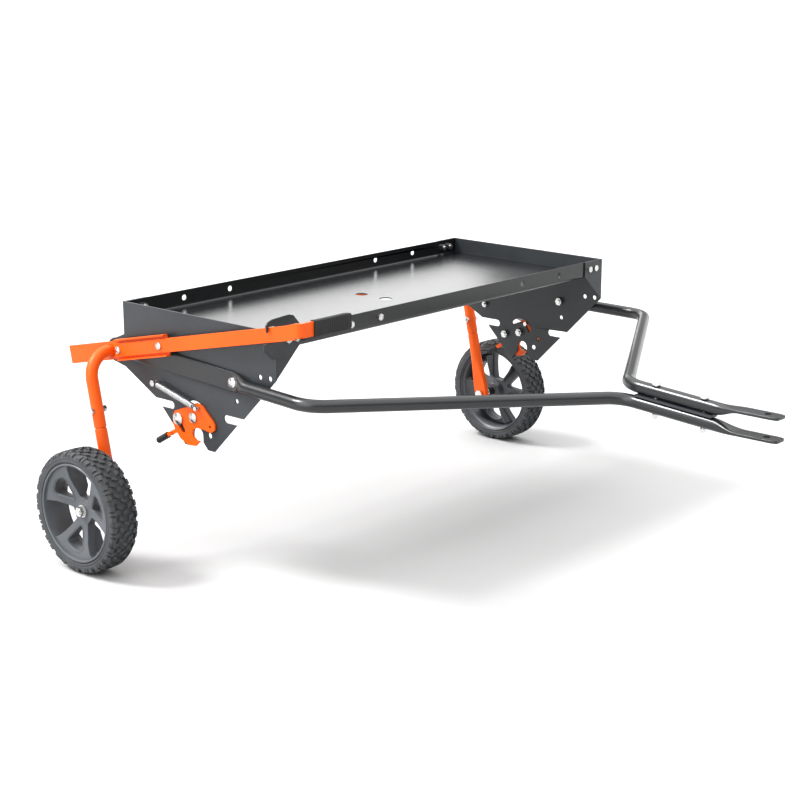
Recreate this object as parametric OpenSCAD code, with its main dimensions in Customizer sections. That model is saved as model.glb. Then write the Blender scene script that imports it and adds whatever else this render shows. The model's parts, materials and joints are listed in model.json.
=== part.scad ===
// Tow behind cart: a folded steel tray between two slotted end plates, a bent tube hitch,
// and a cranked wheel frame that a side lever raises and lowers.
// +X points forward to the hitch, +Y to the left, +Z up. Z = 0 is the ground under the tyres.

/* [Tray] */
// Length across the outer faces of the two end plates
tray_l = 1040; // [840:10:1300]
// Depth from the rear face to the front face, over the corner flanges
tray_w = 442; // [380:2:560]
// Height of the tray walls
wall_h = 37; // [25:1:60]
// Thickness of the tray sheet
sheet_t = 2.5; // [1.5:0.5:4]
// Height of the tray rim above the crank's pivot
rim_rise = 105; // [95:1:130]
// Diameter of the holes along the tray walls
wall_hole_d = 12; // [8:1:16]
// Distance of the inner wall holes from the middle of the tray
wall_hole_in = 230; // [180:5:260]
// Distance of the outer wall holes from the middle of the tray
wall_hole_out = 360; // [320:5:380]
// Diameter of the two drain holes in the floor
drain_d = 26; // [10:1:40]

/* [End plates] */
// Thickness of the end plates
plate_t = 3; // [2:0.5:5]
// Depth of the square upper part, from the rim to where the edges slant in
square_h = 92; // [80:1:110]
// Depth from the rim to the plate's lowest edge
plate_h = 267; // [240:1:300]
// Depth from the rim to the middle of the two side slots
slot_drop = 193; // [180:1:205]
// Width of the side slots
slot_w = 16; // [10:1:22]
// How far each slot reaches in from the lip below it
slot_l = 36; // [28:1:44]
// Width of the bottom notch
notch_w = 28; // [20:1:34]
// Width of the folded corner flanges
flange_w = 64; // [50:1:80]
// Radius of the ear that carries the crank's pivot
ear_r = 25; // [22:1:30]

/* [Wheels] */
// Diameter over the tyre's tread
wheel_d = 253; // [200:1:330]
// Width of the tyre
wheel_w = 66; // [50:1:80]
// Distance from the middle of the cart to the middle of each tyre
half_track = 662; // [650:1:760]
// Diameter of the axle bolts
axle_d = 12; // [10:0.5:16]

/* [Crank and lever] */
// Outside diameter of every tube
tube_d = 25.4; // [22:0.1:30]
// Wall of every tube
tube_wall = 2; // [1.2:0.1:3]
// Distance of the crank's pivot behind the rear face
pivot_back = 28; // [22:1:40]
// Length of the wheel arms from the pivot to the axle
arm_l = 303.3; // [270:1:340]
// Lean of the wheel arms forward of straight down
arm_lean = 11.8; // [0:0.1:20]
// Radius of the bend between the cross tube and each arm
elbow_r = 50; // [40:1:60]
// Slope of the lever above level
lever_a = 12.4; // [8:0.1:18]
// Height of the lever bar
lever_h = 28; // [20:1:36]
// Thickness of the lever bar
lever_t = 6; // [4:0.5:8]
// How far the lever's handle stands ahead of the tray's front face
handle_out = 83; // [60:1:110]
// Length of the rubber grip
grip_l = 100; // [80:1:130]

/* [Hitch] */
// Distance from the tray's front face to the hitch pin
pin_out = 746; // [600:1:900]
// Diameter of the hitch pin hole
pin_d = 13; // [10:0.5:20]
// Clear gap between the two hitch blades
clevis_gap = 37; // [25:1:45]
// Width of the hitch blades
blade_w = 36; // [30:1:44]
// Thickness of the flattened tube ends
flat_t = 6.5; // [5:0.5:9]
// Distance from the tray's front face to the first bend
bend1_out = 106; // [90:1:160]
// Distance from the tray's front face to the second bend
bend2_out = 430; // [350:1:500]

/* [Latches] */
// Swing of each latch from shut to open
latch_swing = 32; // [20:1:36]
// Thickness of the latch plates
latch_t = 5; // [3:0.5:7]
// Diameter of the latch bolts
latch_bolt_d = 10; // [8:0.5:12]

/* [Fits] */
// Radial clearance of a running fit
run = 0.08; // [0.04:0.01:0.1]
// Clearance between pieces that face each other
gap = 0.3; // [0.2:0.05:0.6]

/* [Hidden] */
$fn = 48;
FRAME = "#4b5156";
ORANGE = "#ee6a20";
ZINC = "#c9cdd0";
RUBBER = "#222426";
WHEEL = "#6e7378";

axle_z = wheel_d / 2;
pivot_x = -pivot_back;
pivot_z = axle_z + arm_l * cos(arm_lean);
axle_x = pivot_x + arm_l * sin(arm_lean);
rim_z = pivot_z + rim_rise;
floor_z = rim_z - wall_h;
half_l = tray_l / 2;
plate_in = half_l - plate_t;
arm_y = half_track - wheel_w / 2 - 37;

// the flattened hitch tube, the lever's channel and the lever lie one outside the other
band_out = half_l + flat_t;
web_t = 3;
web_in = band_out + 4;
lever_in = web_in + web_t;
lever_mid = lever_in + lever_t / 2;
channel_h = 44;
tail_l = 136;
tail_h = 38;
channel_l = 184;
flange_out = 13;
handle_x = tray_w + handle_out;
lever_bolt_s = [32, 162];

// corner bolts
corner_y = [half_l - 50, half_l - 28];
corner_z = rim_z - 17;
hole_z = rim_z - 16;
m6 = 6;
m8 = 8;
m10 = 10;

// latch places: the pivot, the stop bolt, the spring's pin and the spring's anchor
notch_x = tray_w / 2 - 3;
notch_z = rim_z - 240;
latch_p = [tray_w / 2 - 10, rim_z - 205];
stop_v = [-44, -10];
stop_r = norm(stop_v);
stop_a = atan2(stop_v[1], stop_v[0]) + 360;
spring_v = [17, 23];
spring_r = norm(spring_v);
spring_a = atan2(spring_v[1], spring_v[0]);
anchor = [104, rim_z - 151];
spring_end = latch_p + spring_v;
spring_d = 12.5;
latch_in = half_l + gap;
latch_out = latch_in + latch_t;
spring_y = latch_out + gap + spring_d / 2;

// hitch: the right tube runs under the left one
tie_x = [tray_w + 503, tray_w + 611];
tongue_z = rim_z - 137;
blade_root = tray_w + pin_out - 66;
blade_tip = tray_w + pin_out + 29;
flat_l = 36;
band_w = 40;
band_z = [pivot_z + 9, pivot_z - 9.5];
band_x = [12, 342];
band_end = 362;
// distance between the two tubes' middles at the second bend and where the blades begin
tongue_split = [tube_d + 3.6, tube_d + 6.6];

x_min = pivot_x - tail_l * cos(lever_a) - tail_h / 2 * sin(lever_a);
x_mid = (x_min + blade_tip) / 2;

// ---- shared shapes ----

// moves a piece from the tray's rear face to the frame, whose X = 0 is the middle of the box
module cart() translate([-x_mid, 0, 0]) children();

// draws a piece of the left side on the side s: 1 left, -1 right
module side(s) mirror([0, s < 0 ? 1 : 0, 0]) children();

// a cylinder between two points
module rod(a, b, r) {
    v = b - a;
    translate(a) rotate([0, acos(v[2] / norm(v)), atan2(v[1], v[0])]) cylinder(r = r, h = norm(v));
}

// a straight stretch along +Y from y0 to y1
module along_y(x, z, y0, y1, r) translate([x, y0, z]) rotate([-90, 0, 0]) cylinder(r = r, h = y1 - y0);

// a 2D outline in (x, z), stretched from y0 to y1
module sheet_y(y0, y1) translate([0, y1, 0]) rotate([90, 0, 0]) linear_extrude(y1 - y0) children();

// a 2D outline in (y, z), stretched from x0 to x1
module sheet_x(x0, x1) translate([x0, 0, 0]) rotate([90, 0, 90]) linear_extrude(x1 - x0) children();

// a hexagon head or nut of depth h along +Z, across flats af
module hex(af, h) cylinder(d = af / cos(30), h = h, $fn = 6);

// a domed head of depth h along +Z
module dome(d, h) intersection() {
    cylinder(d = d, h = h);
    translate([0, 0, h - d * 0.85]) sphere(r = d * 0.85);
}

// a nut along +Z for a thread d
module nut(d) difference() {
    hex(1.6 * d, 0.8 * d);
    translate([0, 0, -1]) cylinder(d = d + 2 * run, h = d + 2);
}

// a stadium between two points
module stadium(a, b, r) {
    v = b - a;
    translate(a) rotate(atan2(v[1], v[0])) {
        circle(r);
        translate([0, -r]) square([norm(v), 2 * r]);
        translate([norm(v), 0]) circle(r);
    }
}

// a slot round the origin, from angle a0 to a1
module arc_slot(r, w, a0, a1) {
    intersection() {
        difference() { circle(r + w / 2); circle(r - w / 2); }
        polygon([[0, 0], for (i = [0 : 6]) 2 * r * [cos(a0 + i * (a1 - a0) / 6), sin(a0 + i * (a1 - a0) / 6)]]);
    }
    for (a = [a0, a1]) rotate(a) translate([r, 0]) circle(w / 2 - 0.15);
}

// unit vector, and a tube bend at b between a and c
function unit(v) = v / norm(v);
function turn(a, b, c) = acos(unit(b - a) * unit(c - b));
function set_back(a, b, c, r) = r * tan(turn(a, b, c) / 2);
module bend(a, b, c, r) {
    u = unit(b - a);
    v = unit(c - b);
    n = unit(v - u * (u * v));
    w = cross(-n, u);
    o = b - u * set_back(a, b, c, r) + n * r;
    e = atan(lap / r);
    multmatrix([[-n[0], u[0], w[0], o[0]], [-n[1], u[1], w[1], o[1]], [-n[2], u[2], w[2], o[2]]])
        rotate([0, 0, -e]) rotate_extrude(angle = turn(a, b, c) + 2 * e) translate([r, 0]) ring(0.15);
}

// the tube's own section, thinned by e where a bend laps into the straights beside it
lap = 1.5;
module ring(e = 0) difference() { circle(tube_r - e); circle(tube_r - tube_wall + e); }
module pipe(h) linear_extrude(h) ring();
module pipe_to(a, b) {
    v = b - a;
    translate(a) rotate([0, acos(v[2] / norm(v)), atan2(v[1], v[0])]) pipe(norm(v));
}

// a run of tube through four points with two bends
module bent_run(p, r) {
    t1 = set_back(p[0], p[1], p[2], r);
    t2 = set_back(p[1], p[2], p[3], r);
    u = [unit(p[1] - p[0]), unit(p[2] - p[1]), unit(p[3] - p[2])];
    pipe_to(p[0], p[1] - u[0] * t1);
    bend(p[0], p[1], p[2], r);
    pipe_to(p[1] + u[1] * t1, p[2] - u[1] * t2);
    bend(p[1], p[2], p[3], r);
    pipe_to(p[2] + u[2] * t2, p[3]);
}

// ---- tray and end plates ----

module tray_section() {
    bend_r = 3 * sheet_t;
    front = tray_w - plate_t - gap;
    rear = plate_t + gap;
    difference() {
        union() {
            translate([rear + bend_r, floor_z]) square([front - rear - 2 * bend_r, wall_h]);
            translate([rear, floor_z + bend_r]) square([front - rear, wall_h - bend_r]);
            for (x = [rear + bend_r, front - bend_r]) translate([x, floor_z + bend_r]) circle(bend_r);
        }
        translate([rear + bend_r, floor_z + sheet_t]) square([front - rear - 2 * bend_r, wall_h]);
        translate([rear + sheet_t, floor_z + bend_r]) square([front - rear - 2 * sheet_t, wall_h]);
        for (x = [rear + bend_r, front - bend_r])
            translate([x, floor_z + bend_r]) circle(bend_r - sheet_t);
    }
}

module tray_pan() cart() color(FRAME) difference() {
    sheet_y(-plate_in + gap, plate_in - gap) tray_section();
    for (y = [-wall_hole_out, -wall_hole_in, wall_hole_in, wall_hole_out])
        translate([-1, y, hole_z]) rotate([0, 90, 0]) cylinder(d = wall_hole_d, h = tray_w + 2);
    for (s = [-1, 1], y = corner_y)
        translate([-1, s * y, corner_z]) rotate([0, 90, 0]) cylinder(d = m8 + 0.5, h = tray_w + 2);
    for (y = stay_y)
        translate([tray_w - 20, y, hole_z - 2]) rotate([0, 90, 0]) cylinder(d = m8 + 0.5, h = 40);
    for (x = [tray_w * 0.44, tray_w * 0.6])
        translate([x, -20, floor_z - 1]) cylinder(d = drain_d, h = sheet_t + 2);
}
stay_y = [-(wall_hole_in + wall_hole_out) / 2 - 19];

module plate_outline() {
    lip = slot_drop - slot_w / 2 - square_h;
    low = plate_h - slot_drop - slot_w / 2;
    mouth = lip + 19;
    half = [for (p = [
        [0, 0], [0, -square_h], [lip, -square_h - lip], [mouth, -square_h - lip - slot_w],
        [mouth + low, -plate_h]
    ]) p];
    difference() {
        translate([0, rim_z]) union() {
            polygon(concat(half, [for (i = [len(half) - 1 : -1 : 0]) [tray_w - half[i][0], half[i][1]]]));
            // ear round the crank's pivot
            translate([pivot_x, pivot_z - rim_z]) circle(ear_r);
            polygon([[1, -68], [pivot_x, pivot_z - rim_z + ear_r], [pivot_x, pivot_z - rim_z - ear_r],
                     [1, -square_h - 44], [lip, -square_h - lip], [20, -68]]);
        }
        for (m = [0, 1]) translate([m * tray_w, rim_z - slot_drop]) mirror([m, 0])
            stadium([mouth - 30, 0], [mouth + slot_l - slot_w / 2, 0], slot_w / 2);
        // bottom notch with a flared mouth
        translate([notch_x, 0]) {
            stadium([0, notch_z - 60], [0, notch_z], notch_w / 2);
            polygon([[-notch_w / 2, notch_z - 13], [-notch_w / 2 - 14, rim_z - plate_h - 1],
                     [notch_w / 2 + 14, rim_z - plate_h - 1], [notch_w / 2, notch_z - 13]]);
        }
        // arc that the spring's pin travels in
        translate(latch_p) arc_slot(spring_r, 9, spring_a - latch_swing - 4, 135);
    }
}

// the front or rear flange of an end plate in (y, z)
module corner_flange() polygon([
    [half_l, rim_z], [half_l - flange_w, rim_z], [half_l - flange_w, rim_z - wall_h + 4],
    [half_l - 8, rim_z - square_h + 6], [half_l, rim_z - square_h]
]);

module end_plate(s) cart() color(FRAME) side(s) difference() {
    union() {
        sheet_y(plate_in, half_l) plate_outline();
        for (x = [0, tray_w - plate_t]) sheet_x(x, x + plate_t) corner_flange();
    }
    // pivot, hitch tube, latch and accessory holes
    along_y(pivot_x, pivot_z, plate_in - 1, half_l + 1, bush_od / 2 + 0.05);
    for (i = [0, 1]) along_y(side_bolt_x[i], side_bolt_z[i], plate_in - 1, half_l + 1, m10 / 2 + 0.3);
    along_y(latch_p[0], latch_p[1], plate_in - 1, half_l + 1, latch_bolt_d / 2 + 0.1);
    along_y(latch_p[0] + stop_v[0], latch_p[1] + stop_v[1], plate_in - 1, half_l + 1, latch_bolt_d / 2 + 0.1);
    along_y(anchor[0], anchor[1], plate_in - 1, half_l + 1, m8 / 2 + 0.1);
    for (h = plate_holes) along_y(h[0], h[1], plate_in - 1, half_l + 1, h[2] / 2);
    for (y = corner_y) translate([-1, y, corner_z]) rotate([0, 90, 0])
        cylinder(d = m8 + 0.5, h = tray_w + 2);
}
plate_holes = [
    [tray_w - 44, rim_z - 93, 10], [tray_w - 17, rim_z - 92, 10],
    [tray_w * 0.75, rim_z - 152, 9], [tray_w * 0.6, rim_z - 214, 9], [tray_w * 0.57, rim_z - 236, 11]
];
module end_plate_right() end_plate(-1);
module end_plate_left() end_plate(1);

// ---- fasteners of the frame ----

module x_bolt(d, l) translate([0, 0, -l]) { cylinder(d = d, h = l); translate([0, 0, l]) hex(1.6 * d, 0.65 * d); }

// bolt along X with its head at x, pointing dir (1 forward, -1 back), shank length l
module bolt_x(x, y, z, dir, d, l) translate([x, y, z]) rotate([0, 90 * dir, 0]) x_bolt(d, l);
module nut_x(x, y, z, dir, d) translate([x, y, z]) rotate([0, 90 * dir, 0]) nut(d);

hook_t = 3;
wall_in = plate_t + gap + sheet_t;
module corner_bolts() cart() color(ZINC) {
    for (s = [-1, 1], y = corner_y) {
        bolt_x(-gap / 2, s * y, corner_z, -1, m8, wall_in + 10);
        bolt_x(tray_w + gap / 2 + (s < 0 ? hook_t + gap : 0), s * y, corner_z, 1, m8,
               wall_in + 10 + (s < 0 ? hook_t + gap : 0));
    }
}
module corner_nuts() cart() color(ZINC) for (s = [-1, 1], y = corner_y) {
    nut_x(wall_in + gap / 2, s * y, corner_z, 1, m8);
    nut_x(tray_w - wall_in - gap / 2, s * y, corner_z, -1, m8);
}

// two loose bolts through the front wall, beside the lever's handle
wall_bolt_y = [-wall_hole_in, stay_y[0]];
module wall_bolts() cart() color(ZINC) for (i = [0, 1])
    bolt_x(tray_w - plate_t, wall_bolt_y[i], i == 0 ? hole_z : hole_z - 2, 1, m8, sheet_t + 9);
module wall_nuts() cart() color(ZINC) for (i = [0, 1])
    nut_x(tray_w - wall_in - gap / 2, wall_bolt_y[i], i == 0 ? hole_z : hole_z - 2, -1, m8);

// hook that holds the lever down at the right front corner, in (y, z) of the left side
lever_z_front = pivot_z + (tray_w - pivot_x) * tan(lever_a);
lever_half = lever_h / 2 / cos(lever_a);
module hook_outline() {
    top = lever_z_front + lever_half + 1.5;
    low = lever_z_front - lever_half - 1.5;
    bolt_top = rim_z - wall_h + 5;
    polygon([
        [half_l - 62, bolt_top], [half_l - 62, rim_z + 8], [half_l - 45, rim_z + 27], [half_l - 33, rim_z + 30],
        [half_l + 11, top + 13], [half_l + 22, top + 9], [lever_in + lever_t + 7.5, top + 3],
        [lever_in + lever_t + 5.5, top - 11], [lever_in + lever_t + 1.5, top - 9],
        [lever_in + lever_t + 1.5, top], [half_l + 3, top], [half_l + 3, low], [half_l + 32, low],
        [half_l + 33.5, rim_z - 28.8], [half_l + 9.5, rim_z - 50], [half_l - 38, rim_z - 49], [half_l - 56, bolt_top]
    ]);
}
module lever_hook() cart() color(FRAME) side(-1) difference() {
    sheet_x(tray_w + gap / 2, tray_w + gap / 2 + hook_t) hook_outline();
    for (y = corner_y) translate([tray_w, y, corner_z]) rotate([0, 90, 0])
        cylinder(d = m8 + 0.5, h = 20, center = true);
}

// ---- hitch ----

side_bolt_x = [40, band_x[1] - 14];
function band_mid(x) = band_z[0] + (band_z[1] - band_z[0]) * (x - band_x[0]) / (band_x[1] - band_x[0]);
side_bolt_z = [band_mid(side_bolt_x[0]), band_mid(side_bolt_x[1])];
tube_r = tube_d / 2;
tube_y = half_l + tube_r;

// points of one hitch tube; s is the side, and the left tube lies above the right one
function hitch_path(s) = [
    [band_end + 12, s * tube_y, band_mid(band_end + 12)],
    [tray_w + bend1_out, s * (half_l + 23), tongue_z + 17],
    [tray_w + bend2_out + 5 * s, s * 3, tongue_z + s * tongue_split[0] / 2],
    [blade_root - 30, 0, blade_mid_z - 1 + s * tongue_split[1] / 2]
];
blade_mid_z = tongue_z - 14.5;
function tie_z(s, x) = let (p = hitch_path(s))
    p[2][2] + (p[3][2] - p[2][2]) * (x - p[2][0]) / (p[3][0] - p[2][0]);

// a short disc that closes a tube's end at a and reaches into it along u
module plug(a, u) rod(a - u, a + 2 * u, tube_r - 0.7);

module hitch_tube(s) {
    p = hitch_path(s);
    blade_z = blade_mid_z + s * (clevis_gap + flat_t) / 2;
    cart() color(FRAME) difference() {
        union() {
            bent_run(p, 60);
            // flattened rear end against the end plate
            side(s) {
                translate([0, half_l + gap / 2, 0]) rotate([90, 0, 0]) mirror([0, 0, 1]) linear_extrude(flat_t - gap)
                    polygon([
                        [band_x[0], band_mid(band_x[0]) - band_w / 2], [band_x[1], band_mid(band_x[1]) - band_w / 2],
                        [band_x[1], band_mid(band_x[1]) + band_w / 2], [band_x[0], band_mid(band_x[0]) + band_w / 2]
                    ]);
                hull() {
                    translate([band_x[1] - 1, half_l + gap / 2, band_mid(band_x[1]) - band_w / 2])
                        cube([1, flat_t - gap, band_w]);
                    side(s) plug(p[0], unit(p[1] - p[0]));
                }
            }
            // flattened blade at the front
            hull() {
                plug(p[3], unit(p[2] - p[3]));
                translate([blade_root - 1, -blade_w / 2, blade_z - flat_t / 2]) cube([1, blade_w, flat_t]);
            }
            translate([0, 0, blade_z - flat_t / 2]) linear_extrude(flat_t) {
                translate([blade_root - 1, -blade_w / 2]) square([blade_tip - 14 - blade_root + 1, blade_w]);
                intersection() {
                    translate([blade_tip - 40, -blade_w / 2]) square([40, blade_w]);
                    translate([blade_tip - 30, 0]) circle(30);
                }
            }
        }
        translate([tray_w + pin_out, 0, blade_z]) cylinder(d = pin_d, h = 3 * flat_t, center = true);
        for (x = tie_x) translate([x, 0, tie_z(s, x)]) cylinder(d = m8 + 0.6, h = 3 * tube_d, center = true);
        for (i = [0, 1]) side(s) along_y(side_bolt_x[i], side_bolt_z[i], half_l - 1, band_out + 1, m10 / 2 + 0.3);
    }
}
module hitch_tube_right() hitch_tube(-1);
module hitch_tube_left() hitch_tube(1);

// low domed heads outside, clear of the lever's channel, and nuts inside
module hitch_side_bolts() cart() color(ZINC) for (s = [-1, 1], i = [0, 1]) side(s)
    translate([side_bolt_x[i], 0, side_bolt_z[i]]) rotate([-90, 0, 0]) {
        translate([0, 0, plate_in - 11]) cylinder(d = m10, h = band_out - plate_in + 11);
        translate([0, 0, band_out]) dome(20, i == 0 ? 2.6 : 6);
    }
module hitch_side_nuts() cart() color(ZINC) for (s = [-1, 1], i = [0, 1]) side(s)
    translate([side_bolt_x[i], plate_in - gap / 2, side_bolt_z[i]]) rotate([90, 0, 0]) nut(m10);

module hitch_tie_bolts() cart() color(ZINC) for (x = tie_x) {
    low = tie_z(-1, x) - tube_r - 10;
    high = tie_z(1, x) + tube_r + 0.8;
    translate([x, 0, low]) cylinder(d = m8, h = high - low + 1);
    translate([x, 0, high]) dome(18, 5);
}
module hitch_tie_nuts() cart() color(ZINC) for (x = tie_x)
    translate([x, 0, tie_z(-1, x) - tube_r - 0.7]) mirror([0, 0, 1]) nut(m8);
// flat bar that fills the space between the two tubes
tie_bar_w = 22;
module hitch_tie_bar() cart() color(FRAME) difference() {
    x = [tie_x[0] - 42, tie_x[1] + 22];
    rotate([90, 0, 0]) linear_extrude(tie_bar_w, center = true) polygon([
        for (i = [0, 1]) [x[i], tie_z(-1, x[i]) + tube_r + gap], for (i = [1, 0]) [x[i], tie_z(1, x[i]) - tube_r - gap]
    ]);
    for (x = tie_x) translate([x, 0, tie_z(0, x)]) cylinder(d = m8 + 0.4, h = tube_d, center = true);
}

// ---- crank, legs and lever ----

bush_od = 32;
bush_w = 9;
module pivot_bushes() cart() color(RUBBER) for (s = [-1, 1]) side(s) difference() {
    union() {
        along_y(pivot_x, pivot_z, plate_in - 3, plate_in - 3 + bush_w, bush_od / 2);
        along_y(pivot_x, pivot_z, plate_in - 3, plate_in - 0.1, bush_od / 2 + 3);
    }
    along_y(pivot_x, pivot_z, plate_in - 4, plate_in + bush_w, tube_r + run);
}

// everything on a wheel arm is drawn straight down from the pivot and then leaned forward
module on_arm() translate([pivot_x, 0, pivot_z]) rotate([0, -arm_lean, 0]) children();
joint_l = 147;
leg_bolt_l = 112;
module crank_tube() cart() color(ORANGE) on_arm() difference() {
    union() {
        translate([0, -(arm_y - elbow_r), 0]) rotate([-90, 0, 0]) pipe(2 * (arm_y - elbow_r));
        for (s = [-1, 1]) side(s) {
            translate([0, arm_y - elbow_r, -elbow_r]) rotate([90, 0, 90])
                rotate_extrude(angle = 90) translate([elbow_r, 0]) ring();
            translate([0, arm_y, -joint_l]) pipe(joint_l - elbow_r);
        }
    }
    for (s = [-1, 1]) side(s) along_y(0, -leg_bolt_l, arm_y - 20, arm_y + 20, m8 / 2 + 0.2);
}

leg_flat_w = 34;
leg_flat_t = 12;
leg_in_r = tube_r - tube_wall - 0.1;
module leg_tube(s) cart() color(ORANGE) on_arm() side(s) difference() {
    union() {
        translate([0, arm_y, -joint_l - 1]) cylinder(r = leg_in_r, h = 55);
        translate([0, arm_y, -joint_l - gap - 6]) cylinder(r1 = tube_r, r2 = leg_in_r, h = 6);
        translate([0, arm_y, -arm_l + 95]) cylinder(r = tube_r, h = arm_l - 95 - joint_l - gap - 6);
        hull() {
            translate([0, arm_y, -arm_l + 94]) cylinder(r = tube_r, h = 1.1);
            translate([-leg_flat_w / 2, arm_y - leg_flat_t / 2, -arm_l + 24]) cube([leg_flat_w, leg_flat_t, 1]);
        }
        translate([-leg_flat_w / 2, arm_y - leg_flat_t / 2, -arm_l]) cube([leg_flat_w, leg_flat_t, 24.5]);
        along_y(0, -arm_l, arm_y - leg_flat_t / 2, arm_y + leg_flat_t / 2, leg_flat_w / 2);
    }
    // hollow from the top down to where the leg is pressed flat
    translate([0, arm_y, -arm_l + 96]) cylinder(r = tube_r - tube_wall - 2.2, h = arm_l);
    along_y(0, -leg_bolt_l, arm_y - 20, arm_y + 20, m8 / 2 + 0.2);
    along_y(0, -arm_l, arm_y - 20, arm_y + 20, axle_d / 2 + 0.1);
}
module leg_tube_right() leg_tube(-1);
module leg_tube_left() leg_tube(1);

module leg_bolts() cart() color(ZINC) on_arm() for (s = [-1, 1]) side(s) {
    along_y(0, -leg_bolt_l, arm_y - tube_r - 9, arm_y + tube_r + 1, m8 / 2);
    translate([0, arm_y + tube_r + 0.1, -leg_bolt_l]) rotate([-90, 0, 0]) hex(13, 5.3);
}
module leg_nuts() cart() color(ZINC) on_arm() for (s = [-1, 1]) side(s)
    translate([0, arm_y - tube_r - 0.1, -leg_bolt_l]) rotate([90, 0, 0]) nut(m8);

// the lever and its channel are drawn level from the pivot and then raised to the lever's slope
module on_lever() translate([pivot_x, 0, pivot_z]) rotate([0, -lever_a, 0]) children();
chan_x0 = pivot_back;
module lever_channel() cart() color(ORANGE) side(-1) on_lever() difference() {
    union() {
        translate([-tail_l, web_in, -tail_h / 2]) cube([tail_l + chan_x0, web_t, tail_h]);
        translate([chan_x0, web_in, -channel_h / 2]) cube([channel_l - chan_x0, web_t, channel_h]);
        for (z = [-channel_h / 2, channel_h / 2 - web_t])
            translate([chan_x0, web_in, z]) cube([channel_l - chan_x0, flange_out, web_t]);
    }
    along_y(0, 0, web_in - 1, web_in + web_t + 1, tube_r + 0.05);
    for (s = lever_bolt_s) along_y(s, 0, web_in - 1, web_in + web_t + 1, m8 / 2 + 0.1);
}

// the bar runs up to the handle, which is bent inward ahead of the tray
lever_run = (handle_x - pivot_x) / cos(lever_a);
handle_z = pivot_z + (handle_x - pivot_x) * tan(lever_a);
handle_end = half_l - 118;
lever_bend = 12;
module lift_lever() cart() color(ORANGE) side(-1) difference() {
    union() {
        on_lever() translate([20, lever_in + gap / 2, -lever_h / 2])
            cube([lever_run - lever_bend - 20 - 3, lever_t, lever_h]);
        // bend, drawn level at the handle's height, and the straight handle
        translate([handle_x - lever_bend, lever_in + gap / 2 - lever_bend + lever_t, handle_z - lever_h / 2])
            rotate([0, 0, 0]) rotate_extrude(angle = 90) translate([lever_bend - lever_t, 0]) square([lever_t, lever_h]);
        hull() {
            on_lever() translate([lever_run - lever_bend - 24, lever_in + gap / 2, -lever_h / 2])
                cube([1, lever_t, lever_h]);
            translate([handle_x - lever_bend - 0.5, lever_in + gap / 2, handle_z - lever_h / 2])
                cube([0.6, lever_t, lever_h]);
        }
        translate([handle_x - lever_t, handle_end + 1, handle_z - lever_h / 2])
            cube([lever_t, lever_in - lever_bend + lever_t + gap / 2 - handle_end - 1, lever_h]);
    }
    on_lever() for (s = lever_bolt_s) along_y(s, 0, lever_in - 1, lever_in + lever_t + 2, m8 / 2 + 0.1);
}
module lever_rivets() cart() color(ZINC) side(-1) on_lever() for (s = lever_bolt_s) {
    along_y(s, 0, web_in + 0.2, lever_in + lever_t + 1, m8 / 2);
    translate([s, lever_in + lever_t + gap, 0]) rotate([-90, 0, 0]) dome(15, 5);
}
grip_w = 13;
module lever_grip() cart() color(RUBBER) side(-1) difference() {
    translate([handle_x - lever_t / 2 - grip_w / 2, handle_end, handle_z - lever_h / 2 - 2])
        cube([grip_w, grip_l, lever_h + 4]);
    translate([handle_x - lever_t - 0.1, handle_end + 1 - 0.1, handle_z - lever_h / 2 - 0.1])
        cube([lever_t + 0.2, grip_l + 10, lever_h + 0.2]);
}

// ---- wheels ----

hub_out = half_track + 9;
hub_in = arm_y + leg_flat_t / 2 + 14;
hub_r = 21;
bush_r = axle_d / 2 + 3;
rim_r = 103;
lip_t = 5;
module on_axle(s) cart() translate([axle_x, 0, axle_z]) side(s) children();

module axle_bolts() for (s = [-1, 1]) on_axle(s) color(ZINC) {
    along_y(0, 0, arm_y - leg_flat_t / 2 - 1, hub_out + 13, axle_d / 2);
    translate([0, arm_y - leg_flat_t / 2 - gap / 2, 0]) rotate([90, 0, 0]) hex(19, 8);
}
module axle_spacers() for (s = [-1, 1]) on_axle(s) color(ZINC) difference() {
    along_y(0, 0, arm_y + leg_flat_t / 2 + 0.2, hub_in - 0.4, axle_d / 2 + 3.5);
    along_y(0, 0, arm_y, hub_in, axle_d / 2 + run);
}
module axle_washers() for (s = [-1, 1]) on_axle(s) color(ZINC) difference() {
    along_y(0, 0, hub_out + 0.3, hub_out + 2.3, 13);
    along_y(0, 0, hub_out, hub_out + 3, axle_d / 2 + run);
}
module axle_nuts() for (s = [-1, 1]) on_axle(s) color(ZINC) translate([0, hub_out + 2.5, 0])
    rotate([-90, 0, 0]) difference() {
        hex(18, 9);
        translate([0, 0, -1]) cylinder(d = axle_d + 2 * run, h = 12);
    }

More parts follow.
